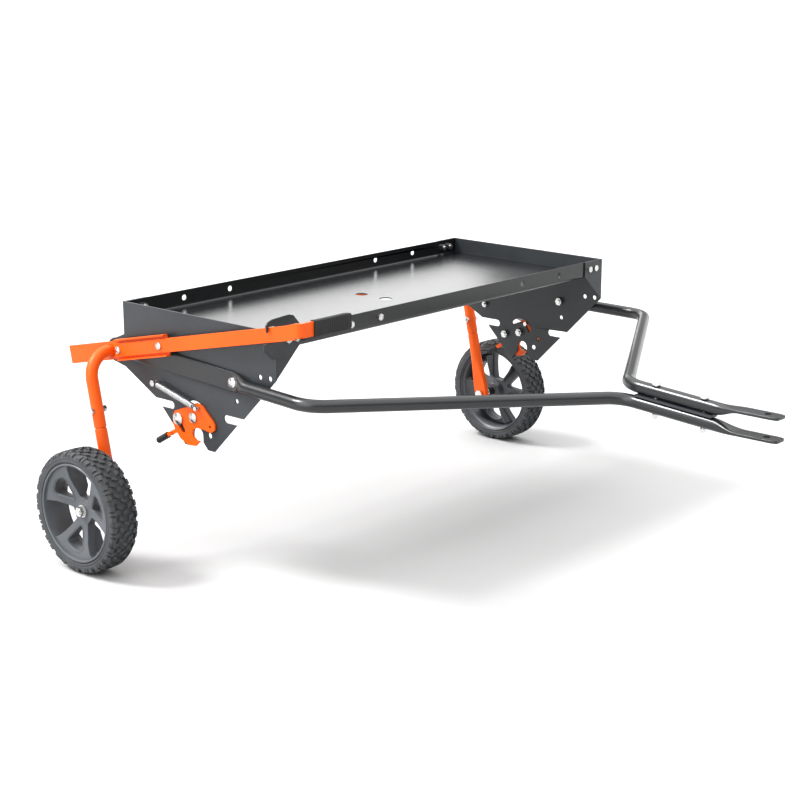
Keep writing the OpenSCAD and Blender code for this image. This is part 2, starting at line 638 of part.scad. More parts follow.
// outline of one spoke pointing along +X: a wedge with a rounded window
module spoke() difference() {
    polygon([[6, -18], [24, -19], [62, -42], [rim_r * cos(38), -rim_r * sin(38)], [rim_r + 10, 0],
             [rim_r * cos(38), rim_r * sin(38)], [62, 36], [24, 18], [6, 18]]);
    difference() {
        polygon([[34, 0], [70, -26], [78, -22], [82, 0], [78, 22], [70, 26]]);
        translate([34, 0]) circle(4);
    }
}
module wheel_body(s) on_axle(s) color(WHEEL) {
    mid = half_track;
    difference() {
        union() {
            // barrel with a lip at each side of the tyre
            translate([0, mid, 0]) rotate([-90, 0, 0]) rotate_extrude($fn = 96) polygon([
                [rim_r - lip_t, -wheel_w / 2 + 2], [rim_r - 0.5, -wheel_w / 2 + 2], [rim_r - 0.5, wheel_w / 2 - 2],
                [rim_r - lip_t, wheel_w / 2 - 2], [rim_r - lip_t - 2, 6], [rim_r - lip_t - 2, -6]
            ]);
            // three dished spokes
            intersection() {
                translate([0, mid, 0]) rotate([-90, 0, 0]) rotate_extrude($fn = 96) polygon([
                    [0, -8], [0, 8], [hub_r, 9], [rim_r - lip_t + 1, wheel_w / 2 - 5],
                    [rim_r - lip_t + 1, wheel_w / 2 - 21], [hub_r, -8]
                ]);
                sheet_y(mid - 20, mid + wheel_w / 2) for (a = [20, 140, 260]) rotate(a) spoke();
            }
            along_y(0, 0, hub_in, hub_out, hub_r);
        }
        along_y(0, 0, hub_in - 1, hub_out + 1, bush_r + 0.05);
    }
}
module wheel_right() wheel_body(-1);
module wheel_left() wheel_body(1);

module tyre(s) on_axle(s) color(RUBBER) translate([0, half_track, 0]) rotate([-90, 0, 0])
    rotate_extrude($fn = 96) polygon([
        [rim_r, -wheel_w / 2 + 3], [rim_r + 3, -wheel_w / 2], [wheel_d / 2 - 7, -wheel_w / 2],
        [wheel_d / 2 - 1, -wheel_w / 2 + 5], [wheel_d / 2, -wheel_w / 4], [wheel_d / 2, wheel_w / 4],
        [wheel_d / 2 - 1, wheel_w / 2 - 5], [wheel_d / 2 - 7, wheel_w / 2], [rim_r + 3, wheel_w / 2],
        [rim_r, wheel_w / 2 - 3]
    ]);
module tyre_right() tyre(-1);
module tyre_left() tyre(1);

module hub_bush(s) on_axle(s) color(RUBBER) difference() {
    along_y(0, 0, hub_in, hub_out, bush_r);
    along_y(0, 0, hub_in - 1, hub_out + 1, axle_d / 2 + run);
}
module hub_bush_right() hub_bush(-1);
module hub_bush_left() hub_bush(1);

// ---- latches ----

handle_u = [-0.87, -0.5];
arm_root = [-46, -32];
arm_out = latch_out + latch_t - 0.5;
module latch_outline() polygon([
    [-56, 4], [-31, 14], [-8, 22], [8, 31], [24, 28], [40, 14], [55, 2], [61, -6], [60, -16], [49, -23],
    [30, -20], [8, -20], [-3, -25], [-6, -33], [-3, -41], [6, -46], [16, -46], [4, -58], [-18, -60],
    [-40, -51], [-57, -34], [-62, -22], [-62, -6]
]);
module latch(s) cart() color(ORANGE) side(s) difference() {
    union() {
        sheet_y(latch_in, latch_out) translate(latch_p) latch_outline();
        sheet_y(latch_in, latch_out) translate(latch_p) stadium(arm_root, arm_root + 30 * handle_u, 4);
        sheet_y(latch_out - 0.5, arm_out) translate(latch_p)
            stadium(arm_root + 24 * handle_u, arm_root + 66 * handle_u, 4);
    }
    sheet_y(latch_in - 1, latch_out + 1) translate(latch_p)
        arc_slot(stop_r, latch_bolt_d + 0.8, stop_a, stop_a + latch_swing);
    along_y(latch_p[0], latch_p[1], latch_in - 1, latch_out + 1, latch_bolt_d / 2 + run);
    along_y(spring_end[0], spring_end[1], latch_in - 1, latch_out + 1, 2.5 + 0.05);
    along_y(latch_p[0] + 47, latch_p[1] - 11, latch_in - 1, latch_out + 1, 3);
}
module latch_right() latch(-1);
module latch_left() latch(1);

module latch_sleeve(s) cart() color(RUBBER) side(s) {
    mid = (latch_out - 0.5 + arm_out) / 2;
    a = latch_p + arm_root + 34 * handle_u;
    b = a + 33.5 * handle_u;
    difference() {
        rod([a[0], mid, a[1]], [b[0], mid, b[1]], 6.5);
        sheet_y(latch_out - 0.55, arm_out + 0.05) translate(latch_p)
            stadium(arm_root, arm_root + 66 * handle_u, 4.05);
    }
}
module latch_sleeve_right() latch_sleeve(-1);
module latch_sleeve_left() latch_sleeve(1);

module latch_bolt(s, p, head_d, head_h) cart() color(ZINC) side(s) {
    along_y(p[0], p[1], plate_in - 11, latch_out + gap, latch_bolt_d / 2);
    translate([p[0], latch_out + gap, p[1]]) rotate([-90, 0, 0]) dome(head_d, head_h);
}
module latch_pivot_bolts() for (s = [-1, 1]) latch_bolt(s, latch_p, 21, 6.5);
module latch_stop_bolts() for (s = [-1, 1]) latch_bolt(s, latch_p + stop_v, 26, 8);
module latch_nuts() cart() color(ZINC) for (s = [-1, 1], p = [latch_p, latch_p + stop_v]) side(s)
    translate([p[0], plate_in - gap / 2, p[1]]) rotate([90, 0, 0]) nut(latch_bolt_d);

module spring_anchors() cart() color(ZINC) for (s = [-1, 1]) side(s) {
    along_y(anchor[0], anchor[1], plate_in - 10, spring_y + 3, m8 / 2);
    translate([anchor[0], spring_y + 3, anchor[1]]) rotate([-90, 0, 0]) hex(12, 4);
}
module anchor_nuts() cart() color(ZINC) for (s = [-1, 1]) side(s)
    translate([anchor[0], plate_in - gap / 2, anchor[1]]) rotate([90, 0, 0]) nut(m8);

module spring_pin(s) cart() color(ZINC) side(s) {
    along_y(spring_end[0], spring_end[1], plate_in - 2, spring_y + 3, 2.5);
    translate([spring_end[0], spring_y + 3, spring_end[1]]) rotate([-90, 0, 0]) cylinder(d = 9, h = 2);
    translate([spring_end[0], plate_in - 4.5, spring_end[1]]) rotate([-90, 0, 0]) cylinder(d = 10, h = 2.5);
}
module spring_pin_right() spring_pin(-1);
module spring_pin_left() spring_pin(1);

// closed outline of the coil, with a hook at each end that stops short of its pin
spring_v2 = unit(spring_end - anchor);
spring_l = norm(spring_end - anchor);
function on_spring(t) = [anchor[0] + spring_v2[0] * t, spring_y, anchor[1] + spring_v2[1] * t];
module latch_spring(s) cart() color(ZINC) side(s) {
    rod(on_spring(14), on_spring(spring_l - 14), spring_d / 2);
    rod(on_spring(m8 / 2 + 0.4), on_spring(15), 1.6);
    rod(on_spring(spring_l - 15), on_spring(spring_l - 2.9), 1.6);
}
module spring_right() latch_spring(-1);
module spring_left() latch_spring(1);

// ---- nodes ----

tray_pan();
end_plate_right();
end_plate_left();
corner_bolts();
corner_nuts();
wall_bolts();
wall_nuts();
lever_hook();
hitch_tube_right();
hitch_tube_left();
hitch_side_bolts();
hitch_side_nuts();
hitch_tie_bolts();
hitch_tie_nuts();
hitch_tie_bar();
pivot_bushes();
crank_tube();
leg_tube_right();
leg_tube_left();
leg_bolts();
leg_nuts();
lever_channel();
lift_lever();
lever_rivets();
lever_grip();
axle_bolts();
axle_spacers();
axle_washers();
axle_nuts();
wheel_right();
wheel_left();
tyre_right();
tyre_left();
hub_bush_right();
hub_bush_left();
latch_right();
latch_left();
latch_sleeve_right();
latch_sleeve_left();
latch_pivot_bolts();
latch_stop_bolts();
latch_nuts();
spring_anchors();
anchor_nuts();
spring_pin_right();
spring_pin_left();
spring_right();
spring_left();
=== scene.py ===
# Tow behind cart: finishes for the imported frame, with moulded wheels, treaded tyres and wound springs.
# Lengths are in metres, except in the hitch tubes' section, where they are in millimetres.
import json
import math

import bmesh
import bpy
from mathutils import Matrix, Vector


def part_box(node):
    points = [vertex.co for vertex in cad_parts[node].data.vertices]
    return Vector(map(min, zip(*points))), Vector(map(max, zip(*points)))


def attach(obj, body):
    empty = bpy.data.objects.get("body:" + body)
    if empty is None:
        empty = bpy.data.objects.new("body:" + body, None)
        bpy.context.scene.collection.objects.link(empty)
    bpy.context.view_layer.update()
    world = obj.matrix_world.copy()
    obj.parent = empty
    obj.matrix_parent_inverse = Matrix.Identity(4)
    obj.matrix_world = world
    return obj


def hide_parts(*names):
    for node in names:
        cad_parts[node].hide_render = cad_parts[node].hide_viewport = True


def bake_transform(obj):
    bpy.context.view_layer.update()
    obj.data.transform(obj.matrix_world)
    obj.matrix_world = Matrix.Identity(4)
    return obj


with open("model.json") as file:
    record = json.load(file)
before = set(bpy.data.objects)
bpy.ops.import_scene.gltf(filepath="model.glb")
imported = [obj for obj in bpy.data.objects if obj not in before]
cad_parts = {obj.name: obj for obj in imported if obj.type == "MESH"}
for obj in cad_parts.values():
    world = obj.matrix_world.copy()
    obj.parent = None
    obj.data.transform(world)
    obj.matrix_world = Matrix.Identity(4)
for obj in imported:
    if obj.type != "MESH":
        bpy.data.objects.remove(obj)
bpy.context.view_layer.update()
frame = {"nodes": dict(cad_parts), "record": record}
NODES = frame["nodes"]
MM = 0.001
ORIGIN_X = 526.0465  # how far ahead of the tray's rear face the frame's origin is, in mm


def cart(x, y, z):
    """A point of the cart's own axes, in mm from the tray's rear face, in the frame's metres."""
    return Vector((x - ORIGIN_X, y, z)) * MM


# ---- materials ----

def material(name, dark, light, rough, metallic=0.0, grain=900.0, bump=0.15, distance=0.0002, coat=0.0,
             coat_rough=0.1, patch=9.0, spec=0.5, rough_spread=0.08):
    """A surface with slow colour variation, uneven roughness and a fine grain in its bump."""
    mat = bpy.data.materials.new(name)
    mat.use_nodes = True
    t = mat.node_tree
    bsdf = t.nodes["Principled BSDF"]
    bsdf.inputs["Metallic"].default_value = metallic
    bsdf.inputs["Coat Weight"].default_value = coat
    bsdf.inputs["Coat Roughness"].default_value = coat_rough
    bsdf.inputs["Specular IOR Level"].default_value = spec
    coords = t.nodes.new("ShaderNodeTexCoord")

    def noise(scale, detail):
        n = t.nodes.new("ShaderNodeTexNoise")
        n.inputs["Scale"].default_value = scale
        n.inputs["Detail"].default_value = detail
        t.links.new(coords.outputs["Object"], n.inputs["Vector"])
        return n

    ramp = t.nodes.new("ShaderNodeValToRGB")
    for stop, position, colour in zip(ramp.color_ramp.elements, (0.32, 0.68), (dark, light)):
        stop.position = position
        stop.color = (*colour, 1)
    t.links.new(noise(patch, 4.0).outputs["Fac"], ramp.inputs["Fac"])
    t.links.new(ramp.outputs["Color"], bsdf.inputs["Base Color"])
    spread = t.nodes.new("ShaderNodeMapRange")
    spread.inputs["To Min"].default_value = max(0.02, rough - rough_spread)
    spread.inputs["To Max"].default_value = rough + rough_spread
    t.links.new(noise(patch * 6, 3.0).outputs["Fac"], spread.inputs["Value"])
    t.links.new(spread.outputs["Result"], bsdf.inputs["Roughness"])
    bumps = t.nodes.new("ShaderNodeBump")
    bumps.inputs["Strength"].default_value = bump
    bumps.inputs["Distance"].default_value = distance
    t.links.new(noise(grain, 2.0).outputs["Fac"], bumps.inputs["Height"])
    t.links.new(bumps.outputs["Normal"], bsdf.inputs["Normal"])
    return mat


PAINT = material("black_powder_coat", (0.029, 0.033, 0.037), (0.036, 0.041, 0.046), 0.42,
                 grain=700, bump=0.12, distance=0.00025, coat=0.15, coat_rough=0.22)
FLOOR_PAINT = material("tray_powder_coat", (0.008, 0.009, 0.010), (0.011, 0.012, 0.013), 0.25,
                       grain=160, bump=0.01, distance=0.0001, coat=0.4, coat_rough=0.22, rough_spread=0.02)
TUBE_PAINT = material("tube_powder_coat", (0.012, 0.013, 0.014), (0.017, 0.018, 0.020), 0.30,
                      grain=700, bump=0.05, distance=0.0001, coat=0.4, coat_rough=0.16, rough_spread=0.03)
ORANGE = material("orange_powder_coat", (0.72, 0.098, 0.004), (0.76, 0.112, 0.006), 0.42,
                  grain=800, bump=0.10, distance=0.0002, coat=0.12, coat_rough=0.2, spec=0.3)
ZINC = material("zinc_plate", (0.58, 0.58, 0.57), (0.74, 0.74, 0.73), 0.26,
                metallic=1.0, grain=1800, bump=0.1, distance=0.00008, patch=60)
SPRING_STEEL = material("spring_wire", (0.42, 0.43, 0.44), (0.6, 0.61, 0.62), 0.3,
                        metallic=0.9, grain=1600, bump=0.1, distance=0.00006, patch=80)
RUBBER = material("grip_rubber", (0.012, 0.012, 0.013), (0.020, 0.020, 0.021), 0.62,
                  grain=2200, bump=0.3, distance=0.00018)
TYRE = material("tyre_rubber", (0.048, 0.051, 0.054), (0.066, 0.070, 0.074), 0.72,
                grain=1500, bump=0.35, distance=0.00025, patch=22)
WHEEL = material("wheel_plastic", (0.088, 0.096, 0.104), (0.108, 0.117, 0.127), 0.42,
                 grain=1300, bump=0.25, distance=0.00012, patch=14)
NYLON = material("black_nylon", (0.016, 0.016, 0.017), (0.026, 0.026, 0.028), 0.5,
                 grain=1500, bump=0.2, distance=0.00012)

SLOT_MATERIAL = {"frame_paint": PAINT, "orange_paint": ORANGE, "zinc": ZINC, "rubber": RUBBER,
                 "tyre_rubber": TYRE, "wheel_plastic": WHEEL, "nylon": NYLON}
SLOT = {part["node"]: part["material_slot"] for part in frame["record"]["subparts"]}
BODY = {name: body for body, names in frame["record"]["behaviour"]["bodies"].items() for name in names}


# ---- objects and meshes ----

def link(obj):
    bpy.context.scene.collection.objects.link(obj)


def paint(obj, mat):
    obj.data.materials.clear()
    obj.data.materials.append(mat)


def add(name, mesh, body, mat, replaced):
    """A new piece on a body, in place of one CAD node."""
    obj = bpy.data.objects.new(name, mesh)
    link(obj)
    paint(obj, mat)
    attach(obj, body)
    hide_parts(replaced)
    return obj


def shade(mesh, angle):
    """Smooth shading, but for edges sharper than angle degrees."""
    for p in mesh.polygons:
        p.use_smooth = True
    mesh.set_sharp_from_angle(angle=math.radians(angle))


def as_mesh(obj):
    """The mesh that obj has after its modifiers or its curve settings."""
    deps = bpy.context.evaluated_depsgraph_get()
    return bpy.data.meshes.new_from_object(obj.evaluated_get(deps))


def applied(obj):
    """Puts the result of obj's modifiers into its mesh."""
    mesh = as_mesh(obj)
    obj.modifiers.clear()
    obj.data = mesh


def finish_mesh(bm, name, angle):
    bmesh.ops.recalc_face_normals(bm, faces=bm.faces)
    mesh = bpy.data.meshes.new(name)
    bm.to_mesh(mesh)
    bm.free()
    shade(mesh, angle)
    return mesh


def bridge(bm, rings, closed=False):
    """Quads from each ring of vertices to the next, and from the last to the first if closed."""
    for a, b in zip(rings, rings[1:] + rings[:1] if closed else rings[1:]):
        for i in range(len(a)):
            j = (i + 1) % len(a)
            bm.faces.new((a[i], a[j], b[j], b[i]))


def capped(bm, rings):
    """Bridged rings with a face over each end."""
    bridge(bm, rings)
    bm.faces.new(rings[0][::-1])
    bm.faces.new(rings[-1])


def turned(bm, profile, steps, centre=(0, 0, 0)):
    """Turns (radius, y) points round the Y axis through centre; the profile's ends are joined."""
    rings = []
    for k in range(steps):
        a = 2 * math.pi * k / steps
        rings.append([bm.verts.new((centre[0] + r * math.cos(a), centre[1] + y, centre[2] + r * math.sin(a)))
                      for r, y in profile])
    bridge(bm, rings, closed=True)


def squared(angle, half_x, half_z, power):
    """A point of an ellipse whose corners get squarer as power falls below 1."""
    c, s = math.cos(angle), math.sin(angle)
    return half_x * math.copysign(abs(c) ** power, c), half_z * math.copysign(abs(s) ** power, s)


def mix(a, b, t):
    return a + (b - a) * t


def smooth(t):
    return t * t * (3 - 2 * t)


def middle(name):
    low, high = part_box(name)
    return (low + high) / 2


# ---- sheet, bar and bent tube: the CAD solids with rolled edges ----

CRUMB = 2e-6  # vertices closer than this are one
FLAT_ANGLE = 0.6  # degrees; faces that meet flatter than this become one
EDGE_ANGLE = 35.0  # degrees; edges sharper than this are rolled


def eased(name, width, mat, clamp=False):
    """A copy of a CAD node whose sharp edges are rolled over, as a pressed and coated edge is."""
    mesh = NODES[name].data.copy()
    bm = bmesh.new()
    bm.from_mesh(mesh)
    bmesh.ops.remove_doubles(bm, verts=bm.verts, dist=CRUMB)
    bmesh.ops.dissolve_limit(bm, angle_limit=math.radians(FLAT_ANGLE), verts=bm.verts, edges=bm.edges)
    bm.to_mesh(mesh)
    bm.free()
    obj = add(name + "_eased", mesh, BODY[name], mat, name)
    edge = obj.modifiers.new("edge", "BEVEL")
    edge.width = width * MM
    edge.segments = 2
    edge.limit_method = "ANGLE"
    edge.angle_limit = math.radians(EDGE_ANGLE)
    edge.use_clamp_overlap = clamp
    normals = obj.modifiers.new("normals", "WEIGHTED_NORMAL")
    normals.mode = "FACE_AREA"
    normals.weight = 100
    normals.keep_sharp = False
    for p in obj.data.polygons:
        p.use_smooth = True
    applied(obj)


# ---- tyres ----

low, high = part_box("tyre_right")
AXLE_X, AXLE_Z = (low.x + high.x) / 2, (low.z + high.z) / 2
TRACK = -(low.y + high.y) / 2  # from the cart's middle to a wheel's middle
HALF_W = (high.y - low.y) / 2
TYRE_R = (high.z - low.z) / 2
RIM_R = 0.103
CARCASS_R = TYRE_R - 0.0042
TREAD_R = TYRE_R - 0.0001
TREAD_STEPS = 34
FOOT_R = CARCASS_R - 0.001
SHOULDER_FOOT_R = CARCASS_R - 0.0045


def tread_block(bm, side, angle, y, length, width, skew, top=TREAD_R, foot=FOOT_R, taper=0.82):
    """A block on the tyre, length along it and width across: its foot in the carcass, its top smaller."""
    shoulder = HALF_W - 0.011  # past this the blocks fall away to the tyre's side
    corners = []
    for level, scale in ((foot, 1.0), (top, taper)):
        for u, v in ((-1, -1), (1, -1), (1, 1), (-1, 1)):
            across = y + v * width / 2 * scale
            a = angle + (u * length / 2 * scale + skew * v * width / 2) / TYRE_R
            past = max(0.0, abs(across) - shoulder)
            r = level - past * past / 0.022
            corners.append(bm.verts.new((AXLE_X + r * math.cos(a), side * TRACK + across, AXLE_Z + r * math.sin(a))))
    for f in ((3, 2, 1, 0), (4, 5, 6, 7), (0, 1, 5, 4), (1, 2, 6, 5), (2, 3, 7, 6), (3, 0, 4, 7)):
        bm.faces.new([corners[i] for i in f])


def tyre(side, body, cad):
    bm = bmesh.new()
    # radius and distance in from the tyre's side face, from the bead to the tread
    wall = [(RIM_R - 0.0005, 0.004), (RIM_R + 0.0012, 0.001), (RIM_R + 0.004, 0.0002), (RIM_R + 0.0065, 0.0012),
            (RIM_R + 0.0095, 0.0004), (CARCASS_R - 0.008, 0.0006), (CARCASS_R - 0.004, 0.003),
            (CARCASS_R - 0.0012, 0.0075), (CARCASS_R, 0.014)]
    profile = [(r, inset - HALF_W) for r, inset in wall] + [(CARCASS_R, 0.0)]
    profile += [(r, HALF_W - inset) for r, inset in reversed(wall)]
    turned(bm, profile, 192, (AXLE_X, side * TRACK, AXLE_Z))

    # staggered rows of blocks, from the middle of the tread out to the shoulders
    step = 2 * math.pi / TREAD_STEPS
    for k in range(TREAD_STEPS):
        a = k * step
        tread_block(bm, side, a, 0.0, 0.0085, 0.0125, 0.35 if k % 2 else -0.35)
        for s in (-1, 1):
            tread_block(bm, side, a + step * 0.5, s * 0.0118, 0.0105, 0.0115, s * 0.45)
            tread_block(bm, side, a + step * 0.08, s * 0.0212, 0.0115, 0.0090, s * -0.35, TREAD_R - 0.0004)
            tread_block(bm, side, a + step * 0.52, s * (HALF_W - 0.0048), 0.0128, 0.0088, s * 0.2,
                        TREAD_R - 0.0006, SHOULDER_FOOT_R, 0.86)
            if k % 2:
                tread_block(bm, side, a + step * 0.02, s * (HALF_W - 0.0044), 0.0070, 0.0080, 0.0,
                            TREAD_R - 0.0016, SHOULDER_FOOT_R, 0.86)
    mesh = finish_mesh(bm, "tyre_mesh", 28.0)
    add("tyre_%s_tread" % cad, mesh, body, TYRE, "tyre_" + cad)


# ---- wheels: drawn about the origin, outer face toward +Y times side ----

SPOKE_R = RIM_R - 0.0058  # where the spokes run into the rim
SPOKE_ANGLES = (20, 140, 260)  # degrees, to the middle of each spoke
SPOKE_HALF = math.radians(36.5)  # half the angle that a spoke takes at the rim
SPOKE_EDGE = [(0.0235, 0.0165), (0.040, 0.0250), (0.058, 0.0360), (0.074, 0.0500)]
SPOKE_EDGE_END = (0.0900, 0.0630)
WALL_FACES = (0.0012, 0.0040)  # how far a spoke's side wall is set in from its edge, outside and inside
WINDOW = [(0.0290, 0.0), (0.0735, -0.0275), (0.0845, 0.0), (0.0735, 0.0275)]
WINDOW_RADII = [0.010, 0.012, 0.030, 0.012]
FACE_THICK = 0.0105
BEAD_R = 0.0016
BEAD_RISE = 0.0019
HUB_OUT = 0.009  # the hub's outer face, from the wheel's middle plane


def dish(r):
    """How far the spokes' outer face stands out from the wheel's middle plane, at a radius."""
    t = min(1.0, max(0.0, (r - 0.022) / 0.072))
    return 0.0085 + 0.0185 * mix(t, smooth(t), 0.65)


def rounded(points, radii, steps):
    """Closed outline with each corner rounded by its own radius."""
    out = []
    n = len(points)
    for i, r in enumerate(radii):
        p, q, s = (Vector(points[(i + d) % n]) for d in (-1, 0, 1))
        a, b = p - q, s - q
        reach = min(r, a.length * 0.48, b.length * 0.48)
        a.normalize()
        b.normalize()
        for k in range(steps + 1):
            t = k / steps
            out.append(tuple((q + a * reach) * (1 - t) ** 2 + q * 2 * t * (1 - t) + (q + b * reach) * t ** 2))
    return out


def flat_face(outline, holes, thick, soft):
    """A filled outline with holes, thick along Z, cut finely enough to be dished."""
    curve = bpy.data.curves.new("outline", "CURVE")
    curve.dimensions = "2D"
    curve.fill_mode = "BOTH"
    curve.extrude = thick / 2
    curve.bevel_depth = soft
    curve.bevel_resolution = 2
    for loop in [outline] + holes:
        spline = curve.splines.new("POLY")
        spline.points.add(len(loop) - 1)
        for point, (x, y) in zip(spline.points, loop):
            point.co = (x, y, 0, 1)
        spline.use_cyclic_u = True
    obj = bpy.data.objects.new("outline", curve)
    link(obj)
    mesh = as_mesh(obj)
    bpy.data.objects.remove(obj)
    bm = bmesh.new()
    bm.from_mesh(mesh)
    bpy.data.meshes.remove(mesh)
    bmesh.ops.remove_doubles(bm, verts=bm.verts, dist=1e-6)
    cuts, pitch = 12, 0.0085
    for axis in ((1, 0, 0), (0, 1, 0)):
        for k in range(-cuts, cuts + 1):
            bmesh.ops.bisect_plane(bm, geom=bm.verts[:] + bm.edges[:] + bm.faces[:],
                                   plane_co=Vector(axis) * (k * pitch), plane_no=axis, dist=1e-6)
    return bm


def barrel(bm, side):
    """The rim: a lip at each side, a well between, and a step where the spokes run in."""
    w = HALF_W
    profile = [(RIM_R - 0.0007, w - 0.0022), (RIM_R - 0.0018, w - 0.0008), (RIM_R - 0.0042, w - 0.0006),
               (RIM_R - 0.0056, w - 0.0016), (RIM_R - 0.0064, w - 0.0040), (RIM_R - 0.0072, 0.012),
               (RIM_R - 0.0086, -0.004), (RIM_R - 0.0086, -0.019), (RIM_R - 0.0074, -0.0222),
               (RIM_R - 0.0050, -0.0236), (RIM_R - 0.0028, -w + 0.0070), (RIM_R - 0.0026, -w + 0.0016),
               (RIM_R - 0.0018, -w + 0.0008), (RIM_R - 0.0007, -w + 0.0022), (RIM_R - 0.0006, 0.0)]
    turned(bm, [(r, side * y) for r, y in profile], 160)


def spoke_outlines():
    """The outline of the three spokes, their windows, and the lines of their side walls."""
    outline, windows, walls = [], [], []
    arc_steps = 24
    arc = []
    for k in range(arc_steps + 1):
        a = SPOKE_HALF * (1 - 2 * k / arc_steps)
        arc.append((SPOKE_R * math.cos(a), SPOKE_R * math.sin(a)))
    for degrees in SPOKE_ANGLES:
        turn = Matrix.Rotation(math.radians(degrees), 2)
        wedge = [(x, -y) for x, y in SPOKE_EDGE] + arc[::-1] + SPOKE_EDGE[::-1]
        outline += [tuple(turn @ Vector(p)) for p in wedge]
        windows.append([tuple(turn @ Vector(p)) for p in rounded(WINDOW, WINDOW_RADII, 7)])
        edge = [p for p in SPOKE_EDGE + [SPOKE_EDGE_END] if math.hypot(*p) < SPOKE_R + 0.012]
        for sign in (-1, 1):
            walls.append([[turn @ Vector((x, sign * (y - inset))) for inset in WALL_FACES] for x, y in edge])
    return outline, windows, walls


def dished_face(bm, side, outline, windows):
    """The spokes' outer face, with a thicker web near the hub."""
    face = flat_face(outline, windows, FACE_THICK, 0.0011)
    for v in face.verts:
        r = math.hypot(v.co.x, v.co.y)
        web = -0.0065 if v.co.z < 0 and r < 0.09 else 0.0
        v.co = Vector((v.co.x, side * (dish(r) - 0.0066 + v.co.z + web), v.co.y))
    mesh = bpy.data.meshes.new("spokes")
    face.to_mesh(mesh)
    face.free()
    bm.from_mesh(mesh)
    bpy.data.meshes.remove(mesh)


def window_border(bm, side, loop):
    """A raised bead round a window, and the window's wall running back toward the wheel's middle."""
    points = [Vector((x, 0, z)) for x, z in loop]
    centre = sum(points, Vector()) / len(points)
    beads, back = [], []
    for p in points:
        out = (p - centre).normalized()
        q = p + out * 0.0022
        crown = dish(math.hypot(q.x, q.z)) - 0.0012
        ring = []
        for k in range(8):
            a = 2 * math.pi * k / 8
            ring.append(bm.verts.new((q.x + out.x * BEAD_R * math.cos(a), side * (crown + BEAD_RISE * math.sin(a)),
                                      q.z + out.z * BEAD_R * math.cos(a))))
        beads.append(ring)
    bridge(bm, beads, closed=True)
    for p in points:
        out = (p - centre).normalized()
        lip = p * 0.995
        lip.y = side * -0.004
        front = Vector((p.x, side * (dish(math.hypot(p.x, p.z)) - 0.006), p.z))
        back.append([bm.verts.new(co) for co in (front, lip, lip + out * 0.002)])
    for a, b in zip(back, back[1:] + back[:1]):
        bm.faces.new((a[0], b[0], b[1], a[1]))
        bm.faces.new((a[1], b[1], b[2], a[2]))


def spoke_wall(bm, side, line):
    """A side wall of a box-shaped spoke, running back nearly to the wheel's inner side."""
    depth = -0.0195
    rings = []
    for outer, inner in line:
        r = outer.length
        outer, inner = (p * min(1.0, SPOKE_R / p.length) for p in (outer, inner))
        front = dish(r) - 0.004
        rear = depth if r > 0.045 else depth * max(0.35, (r - 0.02) / 0.025)
        rings.append([bm.verts.new((p.x, side * y, p.y)) for p, y in
                      ((outer, front), (inner, front), (inner, rear), (outer, rear))])
    bridge(bm, rings)
    bm.faces.new(rings[0])
    bm.faces.new(rings[-1][::-1])


def hub(bm, side):
    """The hub, with a raised ring round the axle's washer."""
    w = HALF_W
    profile = [(0.0092, HUB_OUT - 0.001), (0.0100, HUB_OUT - 0.0002), (0.0165, HUB_OUT - 0.0002),
               (0.0180, HUB_OUT - 0.0012), (0.0188, HUB_OUT - 0.004), (0.0212, -0.006), (0.0205, -w + 0.004),
               (0.0190, -w + 0.0025), (0.0092, -w + 0.0025)]
    turned(bm, [(r, side * y) for r, y in profile], 64)


def wheel(side, body, cad):
    bm = bmesh.new()
    outline, windows, walls = spoke_outlines()
    barrel(bm, side)
    dished_face(bm, side, outline, windows)
    for loop in windows:
        window_border(bm, side, loop)
    for line in walls:
        spoke_wall(bm, side, line)
    hub(bm, side)
    for v in bm.verts:
        v.co += Vector((AXLE_X, side * TRACK, AXLE_Z))
    mesh = finish_mesh(bm, "wheel_mesh", 32.0)
    add("wheel_%s_moulded" % cad, mesh, body, WHEEL, "wheel_" + cad)


# ---- springs ----

WIRE_R = 0.00105
COIL_R = 0.0052
COIL_START, COIL_END = 0.0088, 0.0095  # how far the coil stays from the anchor and from the pin
HOOK_TURN = 1.45 * math.pi  # how far each end hook runs round
ANCHOR_HOOK_R, PIN_HOOK_R = 0.0055, 0.0038


def wire(path, radius, sides):
    """A wire along points."""
    bm = bmesh.new()
    rings = []
    for i, p in enumerate(path):
        d = (path[min(i + 1, len(path) - 1)] - path[max(i - 1, 0)]).normalized()
        a = d.cross(Vector((0, 1, 0)))
        if a.length < 1e-3:
            a = d.cross(Vector((1, 0, 0)))
        a.normalize()
        b = d.cross(a)
        ring = []
        for k in range(sides):
            t = 2 * math.pi * k / sides
            ring.append(bm.verts.new(p + (a * math.cos(t) + b * math.sin(t)) * radius))
        rings.append(ring)
    capped(bm, rings)
    return bm


